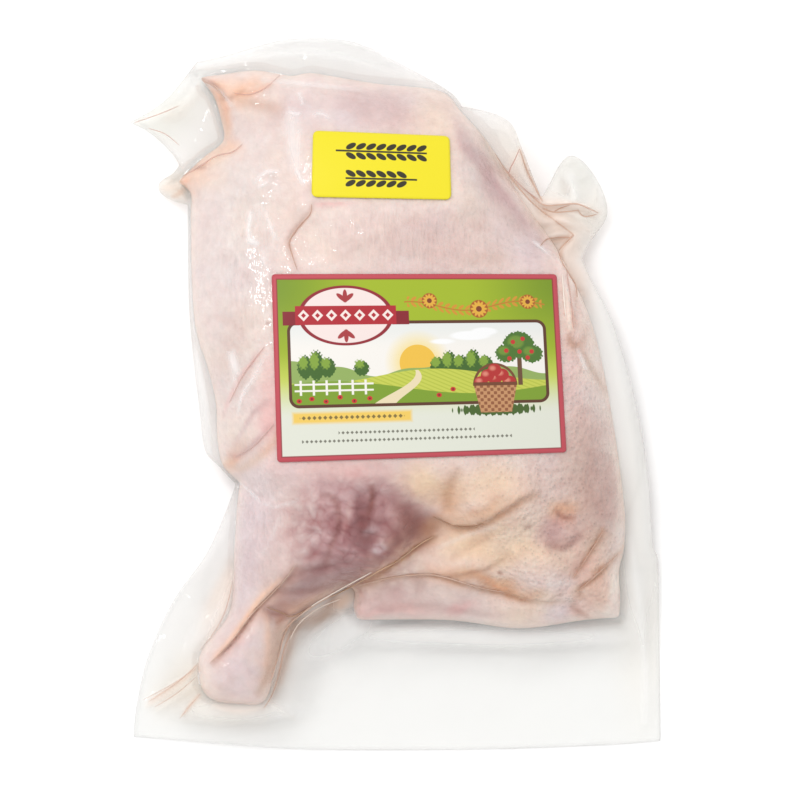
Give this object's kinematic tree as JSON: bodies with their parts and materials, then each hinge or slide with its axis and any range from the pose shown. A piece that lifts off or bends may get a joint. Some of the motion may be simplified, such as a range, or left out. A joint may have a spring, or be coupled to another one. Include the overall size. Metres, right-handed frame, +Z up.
{
  "type": "vacuum-packed raw chicken leg quarters",
  "caption": "Raw skin-on chicken leg quarters sealed in a clear vacuum pouch, lying flat, with a picture sticker and a small yellow sticker on top.",
  "frame": {"origin": "middle of the pouch's outline on the surface it lies on", "axes": "+Z up through the labelled side; +Y from the drumstick's knob to the thigh end; +X to the right of the labels"},
  "size_m": [0.1886, 0.2522, 0.0555],
  "materials": {
    "film": "clear glossy vacuum film drawn tight over pale pink raw chicken skin",
    "picture_sticker": "satin printed sticker, green field with a red border",
    "yellow_sticker": "satin printed sticker, bright yellow"
  },
  "bodies": {
    "root": {"bag": "film", "label_picture": "picture_sticker", "label_yellow": "yellow_sticker"}
  },
  "joints": []
}
